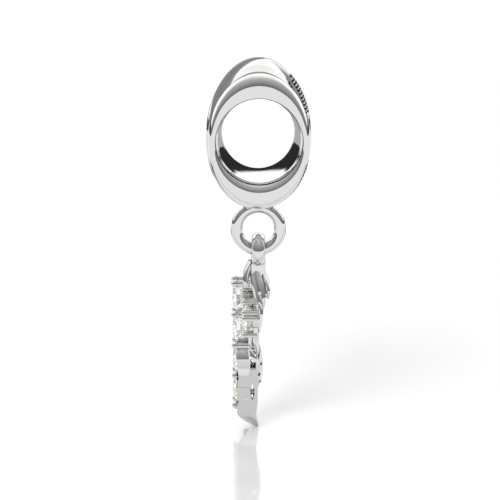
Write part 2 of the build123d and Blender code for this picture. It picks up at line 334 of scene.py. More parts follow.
def make_active(piece: Piece) -> None:
    """Selects one piece alone and makes it active.

    Args:
        piece: The piece.
    """
    bpy.ops.object.select_all(action="DESELECT")
    piece.select_set(True)
    bpy.context.view_layer.objects.active = piece


@contextmanager
def editing(piece: Piece) -> Iterator[None]:
    """Holds one piece in edit mode, at first with all of it selected.

    Args:
        piece: The piece.

    Yields:
        Nothing. The caller edits the piece meanwhile.
    """
    make_active(piece)
    bpy.ops.object.mode_set(mode="EDIT")
    bpy.ops.mesh.select_all(action="SELECT")
    yield
    bpy.ops.object.mode_set(mode="OBJECT")


def apply_modifier(piece: Piece, kind: str, **settings: Any) -> None:
    """Adds a modifier to a piece and applies it.

    Args:
        piece: The piece that it changes.
        kind: The modifier's type.
        **settings: The modifier's properties.
    """
    make_active(piece)
    modifier = piece.modifiers.new(kind.lower(), kind)
    for name, value in settings.items():
        setattr(modifier, name, value)
    bpy.ops.object.modifier_apply(modifier=modifier.name)


def turn_outward(piece: Piece) -> None:
    """Makes all faces of a closed piece face outward."""
    with editing(piece):
        bpy.ops.mesh.normals_make_consistent(inside=False)


def smooth(piece: Piece, angle: float = 32.0) -> None:
    """Shades a piece smooth, apart from edges sharper than an angle in degrees."""
    make_active(piece)
    bpy.ops.object.shade_smooth_by_angle(angle=math.radians(angle))


def soften(piece: Piece, width: float, segments: int = 2) -> None:
    """Rounds a piece's sharp edges, as tumbling and polishing do, and keeps its flats flat.

    Args:
        piece: The piece.
        width: Width of the rounding in mm.
        segments: Number of faces across the rounding.
    """
    rounded_above, sharp_above, flats_first = 24.0, 40.0, 80
    apply_modifier(piece, "BEVEL", width=width * MM, segments=segments, limit_method="ANGLE",
                   angle_limit=math.radians(rounded_above), use_clamp_overlap=True)
    smooth(piece, sharp_above)
    apply_modifier(piece, "WEIGHTED_NORMAL", keep_sharp=True, mode="FACE_AREA", weight=flats_first)


def loft(name: str, axis: Axis, stations: Sequence[Station], points: int, ends: Ends) -> Piece:
    """Draws a ring, then extrudes, scales and shifts it from station to station.

    Args:
        name: The piece's name.
        axis: The way the loft runs.
        stations: The rings in order.
        points: Number of corners of each ring.
        ends: Whether the two ends are filled or joined to each other.

    Returns:
        The closed piece.
    """
    piece = start_piece(name, bpy.ops.mesh.primitive_circle_add, vertices=points, radius=MM,
                        rotation=axis.value)
    first = stations[0]
    with editing(piece):
        bpy.ops.transform.resize(value=axis.place(first.across, first.up, 1.0), center_override=(0, 0, 0))
        bpy.ops.transform.translate(value=Vector(first.middle) * MM)
        for last, new in zip(stations, stations[1:]):
            bpy.ops.mesh.extrude_region()
            bpy.ops.transform.resize(value=axis.place(new.across / last.across, new.up / last.up, 1.0),
                                     center_override=Vector(last.middle) * MM)
            bpy.ops.transform.translate(value=(Vector(new.middle) - Vector(last.middle)) * MM)
        if ends is Ends.FILLED:
            bpy.ops.mesh.edge_face_add()
        bpy.ops.mesh.select_all(action="DESELECT")
        bpy.ops.mesh.select_mode(type="EDGE")
        bpy.ops.mesh.select_non_manifold()
        if ends is Ends.FILLED:
            bpy.ops.mesh.edge_face_add()
        else:
            bpy.ops.mesh.bridge_edge_loops()
    turn_outward(piece)
    smooth(piece)
    return piece


def skin(name: str, rings: Sequence[Sequence[Vector]], ends: Ends) -> Piece:
    """Lays a closed surface over rings of points. A ball or a torus with as many rings and points
    is added, and its corners are put in their places.

    Args:
        name: The piece's name.
        rings: Rings of equally many points, in mm.
        ends: Whether the two ends are filled or joined to each other.

    Returns:
        The closed piece.
    """
    count, steps = len(rings), len(rings[0])
    major = 2.0
    if ends is Ends.JOINED:
        piece = start_piece(name, bpy.ops.mesh.primitive_torus_add, major_radius=major, minor_radius=1.0,
                            major_segments=count, minor_segments=steps)
    else:
        piece = start_piece(name, bpy.ops.mesh.primitive_uv_sphere_add, segments=steps,
                            ring_count=count + 1, radius=1.0)
    for corner in piece.data.vertices:
        turn = math.atan2(corner.co.y, corner.co.x) / math.tau
        if ends is Ends.JOINED:
            roll = math.atan2(corner.co.z, corner.co.xy.length - major) / math.tau
            corner.co = rings[round(turn * count) % count][round(roll * steps) % steps] * MM
            continue
        level = round(math.acos(max(-1.0, min(1.0, corner.co.z))) / math.pi * (count + 1)) - 1
        if 0 <= level < count:
            corner.co = rings[level][round(turn * steps) % steps] * MM
        else:
            ring = rings[0] if level < 0 else rings[-1]
            corner.co = sum(ring, Vector()) / steps * MM
    turn_outward(piece)
    return piece


def plate(name: str, axis: Axis, outline: Outline, start: float, end: float) -> Piece:
    """Draws a filled outline and extrudes it along an axis.

    Args:
        name: The piece's name.
        axis: The way it is extruded.
        outline: Corners of the outline, in mm across the axis.
        start: Where it starts along the axis, in mm.
        end: Where it ends, in mm.

    Returns:
        The closed piece.
    """
    piece = start_piece(name, bpy.ops.mesh.primitive_circle_add, vertices=len(outline), radius=1.0,
                        fill_type="NGON")
    for corner, (across, up) in zip(piece.data.vertices, outline):
        corner.co = axis.place(across, up, start) * MM
    with editing(piece):
        bpy.ops.mesh.extrude_region()
        bpy.ops.transform.translate(value=axis.place(0.0, 0.0, end - start) * MM)
    turn_outward(piece)
    return piece


def rod(name: str, middle: Vector, turn: Sequence[float], size: tuple[float, float],
        corners: int) -> Piece:
    """Adds a round rod.

    Args:
        name: The piece's name.
        middle: Its middle, in mm.
        turn: The turn from upright to its own way.
        size: Its radius and length, in mm.
        corners: Number of corners of its section.

    Returns:
        The rod.
    """
    radius, length = size
    return start_piece(name, bpy.ops.mesh.primitive_cylinder_add, vertices=corners, radius=radius * MM,
                       depth=length * MM, location=middle * MM, rotation=turn)


def box(name: str, low: Point, high: Point) -> Piece:
    """Adds a box between two corners in mm."""
    size = Vector(high) - Vector(low)
    return start_piece(name, bpy.ops.mesh.primitive_cube_add, size=1.0, scale=size * MM,
                       location=(Vector(low) + size / 2) * MM)


def drop_piece(piece: Piece) -> None:
    """Takes a helper piece and its mesh out of the file.

    Args:
        piece: The helper piece.
    """
    mesh = piece.data
    bpy.data.objects.remove(piece)
    bpy.data.meshes.remove(mesh)


def carve(piece: Piece, tool: Piece, cut: Cut = Cut.AWAY) -> None:
    """Changes a solid piece by another solid, which is used up."""
    apply_modifier(piece, "BOOLEAN", object=tool, operation=cut.value, solver="EXACT")
    drop_piece(tool)


def copy_piece(piece: Piece, name: str, shift: Point = (0.0, 0.0, 0.0),
               mirrored: bool = False) -> Piece:
    """Copies a piece with a mesh of its own.

    Args:
        piece: The piece.
        name: The copy's name.
        shift: How far the copy lies from the piece, in mm.
        mirrored: Whether the copy is mirrored across the drop first.

    Returns:
        The copy, at the origin and unturned.
    """
    copy = bpy.data.objects.new(name, piece.data.copy())
    copy.data.name = name
    bpy.context.scene.collection.objects.link(copy)
    side = -1.0 if mirrored else 1.0
    copy.data.transform(Matrix.Translation(Vector(shift) * MM) @ Matrix.Diagonal((1.0, side, 1.0, 1.0)))
    if mirrored:
        copy.data.flip_normals()
    return copy


def join(pieces: Sequence[Piece], name: str) -> Piece:
    """Joins pieces into the first of them.

    Args:
        pieces: The pieces.
        name: The joined piece's name.

    Returns:
        The joined piece.
    """
    make_active(pieces[0])
    for piece in pieces:
        piece.select_set(True)
    bpy.ops.object.join()
    pieces[0].name = name
    pieces[0].data.name = name
    return pieces[0]


def curve_through(points: Sequence[tuple[float, ...]], steps: int) -> list[Vector]:
    """Gives a smooth line through places.

    Args:
        points: The places, in order.
        steps: Number of steps between each two of them.

    Returns:
        The line's points.
    """
    places = [Vector(point) for point in points]
    places = [2 * places[0] - places[1]] + places + [2 * places[-1] - places[-2]]
    line = []
    for before, start, end, after in zip(places, places[1:], places[2:], places[3:]):
        for step in range(steps):
            share = step / steps
            line.append(0.5 * (2 * start + share * (end - before)
                               + share ** 2 * (2 * before - 5 * start + 4 * end - after)
                               + share ** 3 * (3 * start - before - 3 * end + after)))
    return line + [places[-2]]


def rectangle(left: float, low: float, right: float, high: float) -> Outline:
    """Gives the outline of a rectangle by two of its corners."""
    return ((left, low), (right, low), (right, high), (left, high))


def turned(middle: tuple[float, float], angle: float, along: float, across: float) -> tuple[float, float]:
    """Gives the place at two distances from a middle, along a direction and across it.

    Args:
        middle: Where both distances start.
        angle: The direction, in degrees.
        along: Distance along the direction.
        across: Distance across it.

    Returns:
        The place.
    """
    turn = math.radians(angle)
    return (middle[0] + along * math.cos(turn) - across * math.sin(turn),
            middle[1] + along * math.sin(turn) + across * math.cos(turn))


def round_rings(rows: Outline, across: float = 0.0, height: float = 0.0) -> list[Station]:
    """Gives round rings along X from their places and radii, about a middle across and up."""
    return [Station(radius, radius, (along, across, height)) for along, radius in rows]


@dataclass
class SubAssembly:
    """A sub-assembly of metal: its finish, and the way that its finished pieces join the part."""

    finish: Material

    def hang(self, piece: Piece, body: Body) -> Piece:
        """Gives a piece its finish and makes it ride on a body.

        Args:
            piece: The finished piece.
            body: The body that carries it.

        Returns:
            The same piece.
        """
        piece.data.materials.clear()
        piece.data.materials.append(self.finish)
        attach(piece, body.value)
        LOG.info("%s: %d faces on %s", piece.name, len(piece.data.polygons), body.value)
        return piece


@dataclass
class Bead(SubAssembly):
    """The oval bead: two fat rims, a swollen middle, a round bore."""

    bore_radius: float = 2.20
    half_length: float = 3.4
    rim_half_width: float = 2.80
    rim_half_height: float = 3.67
    oval_drop: float = 0.08
    rim_length: float = 1.10
    round_depth: float = 0.60
    outer_round_side: float = 0.26
    outer_round_top: float = 0.62
    mouth_round_side: float = 0.26
    mouth_round_top: float = 0.12
    mouth_round_bottom: float = 0.60
    flare: float = 0.05
    flare_length: float = 1.6
    groove_depth: float = 0.20
    middle_half: float = 2.45
    swell_side: float = -0.02
    swell_top: float = 0.81
    swell_bottom: float = 0.28
    hill: Outline = ((-1.0, 0.0), (-0.8, 0.38), (-0.6, 0.74), (-0.35, 0.96), (0.0, 1.0),
                     (0.35, 0.96), (0.6, 0.74), (0.8, 0.38), (1.0, 0.0))
    points: int = 256
    nose_steps: int = 15
    flare_steps: int = 4
    middle_steps: int = 7
    middle_limit: float = 0.87
    foot_batter: float = 0.02
    crevice_edge: float = 0.05
    crevice_rows: Outline = ((-1.0, 0.0), (-0.3, 0.3), (0.0, 1.0), (0.0, 3.0), (1.0, 4.0))

    def quarter(self, end: int) -> list[tuple[float, float]]:
        """Gives the quarter round between a face and what lies beside it.

        Args:
            end: -1 for the bead's near end, 1 for its far end.

        Returns:
            How much of the round is left, and the place along the bore in mm, from the face on.
        """
        turns = [math.radians(90 * step / self.nose_steps) for step in range(self.nose_steps + 1)]
        return [(1 - math.sin(turn), end * (self.half_length - self.round_depth * (1 - math.cos(turn))))
                for turn in turns]

    def nose(self, end: int) -> list[Station]:
        """Gives the rings of one rim's outer rounding, from its face on."""
        return [Station(self.rim_half_width - self.outer_round_side * left,
                        self.rim_half_height - self.outer_round_top * left,
                        (0.0, along, -self.oval_drop)) for left, along in self.quarter(end)]

    def mouth(self, end: int) -> list[Station]:
        """Gives the rings of one mouth of the bore, which is rounded more below than above.

        Args:
            end: -1 for the bead's near end, 1 for its far end.

        Returns:
            The rings, from the face inwards.
        """
        half_round = (self.mouth_round_top + self.mouth_round_bottom) / 2
        wall = self.bore_radius + self.flare
        rings = [Station(wall + (self.mouth_round_side - self.flare) * left,
                         wall + (half_round - self.flare) * left,
                         (0.0, along, (self.mouth_round_top - half_round) * left))
                 for left, along in self.quarter(end)]
        for step in range(1, self.flare_steps + 1):
            share = step / self.flare_steps
            radius = self.bore_radius + self.flare * (1 - share)
            along = end * (self.half_length - self.round_depth - self.flare_length * share)
            rings.append(Station(radius, radius, (0.0, along, 0.0)))
        return rings

    def waist(self, share: float, swell: float) -> Station:
        """Gives one ring of the swollen middle.

        Args:
            share: Place along the middle, from -1 at its near end to 1 at its far end.
            swell: How far the middle has risen there, from 0 at the rims to 1 at its crest.

        Returns:
            The ring, in mm.
        """
        across = self.rim_half_width - self.groove_depth + (self.groove_depth + self.swell_side) * swell
        top = self.rim_half_height - self.oval_drop - self.groove_depth
        top = top + (self.groove_depth + self.swell_top) * swell
        bottom = self.rim_half_height + self.oval_drop - self.groove_depth
        bottom = bottom + (self.groove_depth + self.swell_bottom) * swell
        return Station(across, (top + bottom) / 2, (0.0, share * self.middle_half, (top - bottom) / 2))

    def crevice(self, end: int) -> list[Station]:
        """Gives the rings of the narrow groove between a rim and the middle.

        Args:
            end: -1 for the bead's near end, 1 for its far end.

        Returns:
            The rings, from the rim inwards.
        """
        back = self.half_length - self.rim_length
        edge = self.crevice_edge
        return [Station(self.rim_half_width - sink * edge, self.rim_half_height - sink * edge,
                        (0.0, end * (back - inward * edge), -self.oval_drop))
                for inward, sink in self.crevice_rows]

    def make(self) -> Piece:
        """Builds the bead's body as one closed shell with its bore.

        Returns:
            The bead's body.
        """
        foot = self.middle_limit + self.foot_batter
        middle = [self.waist(spot.x, spot.y) for spot in curve_through(self.hill, self.middle_steps)
                  if abs(spot.x) < self.middle_limit]
        rings = [*self.nose(-1), *self.crevice(-1), self.waist(-foot, 0.0), *middle,
                 self.waist(foot, 0.0), *self.crevice(1)[::-1], *self.nose(1)[::-1],
                 *self.mouth(1), *self.mouth(-1)[::-1]]
        return self.hang(loft("bead_body", Axis.Y, rings, self.points, Ends.JOINED), Body.BEAD)


@dataclass
class Strap(SubAssembly):
    """One smooth strap that crosses over the bead's middle, with steep sides."""

    name: str
    turn: float
    step: float = 0.0
    edge_fall: float = 0.0
    base_side: float = 2.60
    base_top: float = 3.39
    base_bottom: float = 3.55
    reach_side: float = 0.378
    reach_top: float = 1.06
    reach_bottom: float = 0.56
    fall: float = 0.06
    batter: float = 0.12
    flank_start: float = 0.62
    flank_fade: float = 0.26
    flank_fall: float = 0.15
    middle_half: float = 2.45
    mid_half_width: float = 0.80
    end_half_width: float = 0.42
    plan_reach: float = 3.92
    sunk_share: float = 0.75
    side_sink: float = 0.13
    points: int = 320
    place_passes: int = 3
    base_depth: float = 0.32
    base_depth_gain: float = 0.42
    skirt_share: float = 0.3
    edge_rows: Outline = ((1.0, 0.03), (0.992, 0.012), (0.975, 0.0))
    bevel_rows: Outline = ((0.9, 0.62), (0.82, 0.28), (0.7, 0.06), (0.5, 0.0), (0.25, 0.0))
    shade_angle: float = 50.0

    def half_width(self, across: float) -> float:
        """Gives half the strap's width in plan at a distance across the bead."""
        share = across / self.plan_reach
        return self.mid_half_width + (self.end_half_width - self.mid_half_width) * share * share

    def place(self, angle: float, share: float, depth: float = 0.0) -> Vector:
        """Gives a point of the strap.

        Args:
            angle: Turn round the bead in radians, from its back side upwards.
            share: Place across the strap, from -1 at its near edge to 1 at its far edge.
            depth: Depth below the strap's surface in mm.

        Returns:
            The point, in mm.
        """
        lean = math.radians(self.turn)
        across, up = math.cos(angle), math.sin(angle)
        along = 0.0
        # How far the strap has sunk depends on the place along the bore, and that place on how far it
        # has sunk, so both are worked out in a few rounds.
        for _ in range(self.place_passes):
            swell = 1 - self.fall * (along / self.middle_half) ** 2
            side = (self.base_side + self.reach_side * swell - self.step) * across
            along = side * math.tan(lean) + share * self.half_width(side) / math.cos(lean)
        base, reach = (self.base_top, self.reach_top) if up >= 0 else (self.base_bottom, self.reach_bottom)
        height = (base + reach * swell - self.step) * up
        surface = Vector((side, along, height))
        root = Vector((side * (1 - self.side_sink * across ** 4), along, height * self.sunk_share))
        return surface + (root - surface).normalized() * depth

    def section(self, angle: float) -> list[Vector]:
        """Gives one ring of the strap: its top, its softened edges and its sunken base.

        Args:
            angle: Turn round the bead in radians, from its back side upwards.

        Returns:
            The ring's points, in mm.
        """
        rise = abs(math.sin(angle))
        deep = self.base_depth + self.base_depth_gain * rise
        flank = max(0.0, min(1.0, (self.flank_start - rise) / self.flank_fade))
        low = self.edge_fall * rise * (1 - flank) + self.flank_fall * flank
        foot, skirt = 1.0 + self.batter, self.skirt_share
        half = [(foot, deep), (1 - skirt + skirt * foot, low + skirt * (deep - low))]
        half += [(share, low + more) for share, more in self.edge_rows]
        half += [(share, part * low) for share, part in self.bevel_rows]
        rows = [(-share, depth) for share, depth in half] + [(0.0, 0.0)] + half[::-1]
        return [self.place(angle, share, depth) for share, depth in rows]

    def make(self) -> None:
        """Builds the strap as one closed band."""
        rings = [self.section(math.tau * step / self.points) for step in range(self.points)]
        strap = skin(self.name, rings, Ends.JOINED)
        smooth(strap, self.shade_angle)
        self.hang(strap, Body.BEAD)


@dataclass
class Milgrain(SubAssembly):
    """The rows of fine grains along the edges of the lower strap, on the bead's shoulders."""

    name: str
    under: Strap
    over: Strap
    grain_radius: float = 0.085
    pitch: float = 0.21
    phase: float = 0.0
    sink: float = 0.0
    rows: Outline = ((0.86, 0.06), (1.0, 0.22))
    nearest_across: float = 1.70
    furthest_across: float = 2.70
    steps: int = 1440
    grain_sides: int = 8
    grain_rings: int = 6

    def covered(self, place: Vector) -> bool:
        """Tells whether a place lies under the other strap or outside the reach of the grains.

        Args:
            place: The place, in mm.

        Returns:
            Whether no grain belongs there.
        """
        lean = math.radians(self.over.turn)
        away = abs(place.y * math.cos(lean) - place.x * math.sin(lean))
        if away < self.over.half_width(place.x) + self.grain_radius:
            return True
        return not self.nearest_across < abs(place.x) < self.furthest_across

    def make(self) -> None:
        """Builds the grains as copies of one small bead."""
        grain = start_piece("grain", bpy.ops.mesh.primitive_uv_sphere_add, segments=self.grain_sides,
                            ring_count=self.grain_rings, radius=self.grain_radius * MM)
        grains = []
        for edge, (row, (share, depth)) in product((-1, 1), enumerate(self.rows)):
            line = [self.under.place(math.tau * step / self.steps, edge * share, depth + self.sink)
                    for step in range(self.steps)]
            # Every second row starts half a pitch further on.
            travel = self.pitch * (1 - self.phase - 0.5 * (row % 2))
            for last, place in zip(line, line[1:]):
                travel += (place - last).length
                if travel < self.pitch:
                    continue
                travel -= self.pitch
                if not self.covered(place):
                    grains.append(copy_piece(grain, "grain", place))
        drop_piece(grain)
        row = join(grains, self.name)
        smooth(row, 180.0)
        self.hang(row, Body.BEAD)


@dataclass
class BailRing(SubAssembly):
    """The plain round ring soldered under the bead, with the small fillet of its solder."""

    radius: float = 1.30
    wire_radius: float = 0.35
    height: float = -5.49
    fillet: tuple[Point, ...] = ((0.66, 0.50, -3.88), (0.56, 0.43, -3.98), (0.47, 0.37, -4.06),
                                 (0.41, 0.33, -4.14), (0.33, 0.30, -4.22))
    steps: int = 128
    wire_points: int = 48

    def make(self) -> None:
        """Builds the ring and the fillet."""
        ring = start_piece("bail_ring", bpy.ops.mesh.primitive_torus_add, major_radius=self.radius * MM,
                           minor_radius=self.wire_radius * MM, major_segments=self.steps,
                           minor_segments=self.wire_points, location=(0, 0, self.height * MM),
                           rotation=(math.pi / 2, 0, 0))
        smooth(ring)
        rings = [Station(across, along, (0.0, 0.0, height)) for across, along, height in self.fillet]
        fillet = loft("bail_ring_solder", Axis.Z, rings, self.wire_points, Ends.FILLED)
        self.hang(ring, Body.BEAD)
        self.hang(fillet, Body.BEAD)


@dataclass
class Eyelet(SubAssembly):
    """The drop's own eyelet, which hangs in the ring, and the block under it."""

    inner_radius: float = 0.45
    band: float = 0.57
    thickness: float = 0.80
    steps: int = 192
    band_points: int = 80
    block: Outline = ((-0.43, 0.74), (0.43, 0.74), (0.43, 1.68), (0.36, 1.75), (-0.10, 1.52),
                      (-0.43, 1.34))
    block_half_breadth: float = 0.50
    block_edge: float = 0.05
    block_edge_faces: int = 3

    def make(self) -> None:
        """Builds the eyelet and its block."""
        eyelet = start_piece("eyelet", bpy.ops.mesh.primitive_torus_add,
                             major_radius=(self.inner_radius + self.band / 2) * MM,
                             minor_radius=self.band / 2 * MM, major_segments=self.steps,
                             minor_segments=self.band_points, rotation=(0, math.pi / 2, 0))
        eyelet.data.transform(Matrix.Translation((0, 0, HINGE_HEIGHT * MM))
                              @ Matrix.Diagonal((self.thickness / self.band, 1.0, 1.0, 1.0)))
        smooth(eyelet)
        outline = [(across, hung(below)) for across, below in self.block]
        block = plate("neck_block", Axis.Y, outline, -self.block_half_breadth, self.block_half_breadth)
        soften(block, self.block_edge, self.block_edge_faces)
        self.hang(eyelet, Body.DROP)
        self.hang(block, Body.DROP)


@dataclass(frozen=True)
class LeafForm:
    """How a leaf is cut: its section, and how it widens, thickens and bows along its length."""

    section: Outline
    stations: Sequence[tuple[float, float, float, float]]


FLUTED = ((-1.0, 0.0), (-0.55, 0.9), (-0.15, 0.25), (0.35, 1.0), (1.0, 0.1), (0.35, -0.8), (-0.5, -0.8))
PLAIN = ((-1.0, 0.0), (0.0, 1.0), (1.0, 0.0), (0.0, -1.0))
REAR_LEAF = LeafForm(FLUTED, ((0.0, 0.80, 0.35, 0.0), (0.2, 0.93, 0.85, 0.4), (0.45, 1.0, 1.0, 0.85),
                              (0.75, 0.96, 1.0, 0.7), (1.0, 0.24, 0.45, 0.0)))
RIDGED = ((-1.0, 0.0), (0.3, 1.0), (1.0, 0.0), (0.0, -1.0))
FRONT_LEAF = LeafForm(RIDGED, ((0.0, 0.5, 0.9, 0.0), (0.45, 1.0, 1.0, 1.0), (0.8, 1.0, 0.9, 0.7),
                               (1.0, 0.5, 0.5, 0.0)))
BRACE = LeafForm(PLAIN, ((0.0, 0.8, 0.8, 0.0), (0.5, 1.0, 1.0, 1.0), (1.0, 0.8, 1.0, 0.0)))


@dataclass
class Leaf(SubAssembly):
    """One leaf of the near side, and the same leaf mirrored on the far side.
    Roots and tips are places: X, Y and distance below the hinge."""

    name: str
    form: LeafForm
    root: Point
    tip: Point
    side: Point
    width: float
    thickness: float
    bow: Point
    edge: float = 0.02
    steps: int = 4

    def make(self) -> None:
        """Builds the two leaves."""
        start = Vector((self.root[0], self.root[1], hung(self.root[2])))
        run = Vector((self.tip[0], self.tip[1], hung(self.tip[2]))) - start
        side = Vector(self.side)
        across = (side - run * side.dot(run) / run.dot(run)).normalized()
        proud = run.cross(across).normalized()
        rings = []
        for along, wide, thick, bowed in curve_through(self.form.stations, self.steps):
            middle = start + run * along + Vector(self.bow) * bowed
            rings.append([middle + across * (u * wide * self.width / 2)
                          + proud * (v * thick * self.thickness / 2) for u, v in self.form.section])
        near = skin(self.name + "_near", rings, Ends.FILLED)
        soften(near, self.edge)
        far = copy_piece(near, self.name + "_far", mirrored=True)
        self.hang(near, Body.DROP)
        self.hang(far, Body.DROP)


@dataclass
class Spine(SubAssembly):
    """The drop's spine, the pierced gallery with its dome, and the foot: one cast body."""

    length: float = 11.55
    gallery_front: float = 0.60
    gallery_back: float = 0.02
    gallery_half: float = 0.84
    gallery_top: float = 5.70
    gallery_bottom: float = 9.70
    side_wall: float = 0.30
    face_wall: float = 0.10
    end_wall: float = 0.15
    spine_half: float = 0.62
    spine_neck_half: float = 0.42
    spine_neck: float = 3.20
    spine_shoulder: float = 3.90
    top: float = 1.60
    slope_front: float = 5.09
    slope_back: float = 5.98
    slope_fall: float = 0.76
    back: Outline = ((0.285, 1.605), (0.30, 3.465), (0.285, 4.158), (0.165, 4.851), (0.021, 5.198))
    back_steps: int = 6
    foot: Outline = ((-0.13, 10.395), (0.06, 11.377), (0.0, 11.55), (-0.351, 11.40), (-0.897, 10.996),
                     (-1.30, 10.40), (-1.30, 9.70))
    foot_edge: float = 10.55
    foot_edge_half: float = 0.78
    tip_half: float = 0.08
    tip_spare: float = 0.05
    reach_across: float = 2.6
    cutter_half: float = 1.0
    window_width: float = 0.36
    window_height: float = 1.65
    window_below: float = 6.60
    window_points: int = 24
    window_bar: float = 0.20
    window_bar_turn: float = 35.0
    marquise_length: float = 1.10
    marquise_width: float = 0.26
    marquise_below: float = 8.90
    marquise_forward: float = 0.04
    marquise_steps: int = 10
    dome_half: Point = (0.40, 0.79, 1.45)
    dome_sink: float = 0.06
    dome_below: float = 7.45
    dome_sides: int = 72
    dome_rings: int = 48
    azure_radius: float = 0.11
    azure_reach: float = 2.0
    azure_points: int = 24
    azures: Outline = ((-0.62, 62.0), (-0.22, 48.0), (0.22, 62.0), (0.60, 48.0))
    culet_size: tuple[float, float] = (0.16, 0.44)
    culet_front: float = 0.60
    culet_points: int = 32
    culets: tuple[float, ...] = (2.99, 4.97, 6.95, 8.93)
    edge: float = 0.025

    @property
    def middle(self) -> float:
        """The middle of the gallery's depth, in mm from the hinge."""
        return -(self.gallery_front + self.gallery_back) / 2

    def profile(self, name: str, half_outline: Outline) -> Piece:
        """Cuts the outline seen from the side to an outline seen from the front.

        Args:
            name: The piece's name.
            half_outline: Half of the front outline: distance across and distance below the hinge.

        Returns:
            The solid that has both outlines.
        """
        rear = [(spot.x, hung(spot.y)) for spot in curve_through(self.back, self.back_steps)]
        outline = [*rear, (-self.gallery_back, hung(self.gallery_bottom)),
                   *((across, hung(below)) for across, below in self.foot),
                   (-self.gallery_front, hung(self.gallery_bottom)),
                   (-self.gallery_front, hung(self.back[0][1]))]
        body = plate(name, Axis.Y, outline, -self.gallery_half, self.gallery_half)
        front = [(across, hung(below)) for across, below in half_outline]
        front = front + [(-across, height) for across, height in front[::-1] if across > 0]
        cutter = plate("front_outline", Axis.X, front, -self.reach_across, self.reach_across)
        carve(body, cutter, Cut.SHARED)
        return body

    def slope(self, body: Piece, side: int) -> None:
        """Cuts the slanting facet where the gallery widens out of the spine, on one side.

        Args:
            body: The solid that it is cut from.
            side: -1 for the near side, 1 for the far side.
        """
        along = Vector((self.gallery_front - self.gallery_back, 0.0, self.slope_front - self.slope_back))
        down = Vector((0.0, side * (self.gallery_half - self.spine_half), -self.slope_fall))
        corner = Vector((-self.gallery_front, side * self.spine_half, hung(self.slope_front)))
        with editing(body):
            bpy.ops.mesh.bisect(plane_co=corner * MM, plane_no=down.cross(along) * -side, use_fill=True,
                                clear_outer=True)
        turn_outward(body)

    def window(self) -> Piece:
        """Makes the cutter of the upper window, an upright slot with a slanting bar across it.

        Returns:
            The cutter.
        """
        radius = self.window_width / 2
        rise = self.window_height / 2 - radius
        height = hung(self.window_below)
        outline = []
        for step in range(self.window_points):
            turn = math.tau * (step + 0.5) / self.window_points
            up = rise if math.sin(turn) > 0 else -rise
            outline.append((self.middle + radius * math.cos(turn), height + up + radius * math.sin(turn)))
        slot = plate("window_slot", Axis.Y, outline, -self.cutter_half, self.cutter_half)
        half_bar = self.window_bar / 2
        corners = [turned((self.middle, height), self.window_bar_turn, along, across) for along, across in
                   rectangle(-half_bar, -self.window_width, half_bar, self.window_width)]
        bar_half = 1.1 * self.cutter_half
        carve(slot, plate("window_bar", Axis.Y, corners, -bar_half, bar_half))
        return slot

    def marquise(self) -> Piece:
        """Makes the cutter of the lower window, a pointed slot.

        Returns:
            The cutter.
        """
        outline = []
        for side, step in product((1, -1), range(self.marquise_steps)):
            up = side * (step / self.marquise_steps * 2 - 1)
            across = side * self.marquise_width / 2 * (1 - up * up)
            outline.append((self.middle - self.marquise_forward + across,
                            hung(self.marquise_below) + up * self.marquise_length / 2))
        return plate("marquise", Axis.Y, outline, -self.cutter_half, self.cutter_half)

    def azure(self, rise: float, turn: float, side: int) -> Piece:
        """Makes the cutter of one round hole in the dome.

        Args:
            rise: Its height on the dome, as a share of the dome's half length.
            turn: How far it looks to the side, in degrees.
            side: -1 for the near side, 1 for the far side.

        Returns:
            The cutter.
        """
        way = Vector((math.cos(math.radians(turn)), side * math.sin(math.radians(turn)), 0.0))
        root = Vector((self.middle, 0.0, hung(self.dome_below + rise * self.dome_half[2])))
        return rod("azure", root + way * self.azure_reach / 2, way.to_track_quat("Z", "Y").to_euler(),
                   (self.azure_radius, self.azure_reach), self.azure_points)

    def dome(self) -> Piece:
        """Makes the swollen back of the gallery.

        Returns:
            The dome, whole.
        """
        dome = start_piece("dome", bpy.ops.mesh.primitive_uv_sphere_add, segments=self.dome_sides,
                           ring_count=self.dome_rings, radius=1.0)
        middle = Vector((-self.gallery_back - self.dome_sink, 0.0, hung(self.dome_below)))
        dome.data.transform(Matrix.Translation(middle * MM)
                            @ Matrix.Diagonal((*(Vector(self.dome_half) * MM), 1.0)))
        return dome

    def hollow(self) -> Piece:
        """Makes the cutter of the gallery's hollow.

        Returns:
            The cutter.
        """
        inside = self.gallery_half - self.side_wall
        low = (-self.gallery_front + self.face_wall, -inside, hung(self.gallery_bottom - self.end_wall))
        high = (-self.gallery_back - self.face_wall, inside, hung(self.gallery_top + self.end_wall))
        return box("hollow", low, high)

    def make(self) -> Piece:
        """Builds the body and pierces it.

        Returns:
            The body.
        """
        top, bottom, tip = self.top, self.gallery_bottom, self.length + self.tip_spare
        foot_half = ((0.0, top), (self.gallery_half, top), (self.gallery_half, bottom),
                     (self.foot_edge_half, self.foot_edge), (self.tip_half, tip), (0.0, tip))
        spine_half = ((0.0, top), (self.spine_neck_half, top), (self.spine_neck_half, self.spine_neck),
                      (self.spine_half, self.spine_shoulder), (self.spine_half, bottom), (0.0, bottom))
        body = self.profile("spine_gallery_foot", foot_half)
        for side in (-1, 1):
            self.slope(body, side)
        carve(body, self.profile("spine", spine_half), Cut.ADDED)
        carve(body, self.dome(), Cut.ADDED)
        carve(body, self.hollow())
        carve(body, self.window())
        carve(body, self.marquise())
        for (rise, turn), side in product(self.azures, (-1, 1)):
            carve(body, self.azure(rise, turn, side))
        for below in self.culets:
            carve(body, rod("culet_hole", Vector((-self.culet_front, 0.0, hung(below))),
                            (0.0, math.pi / 2, 0.0), self.culet_size, self.culet_points))
        soften(body, self.edge)
        return self.hang(body, Body.DROP)


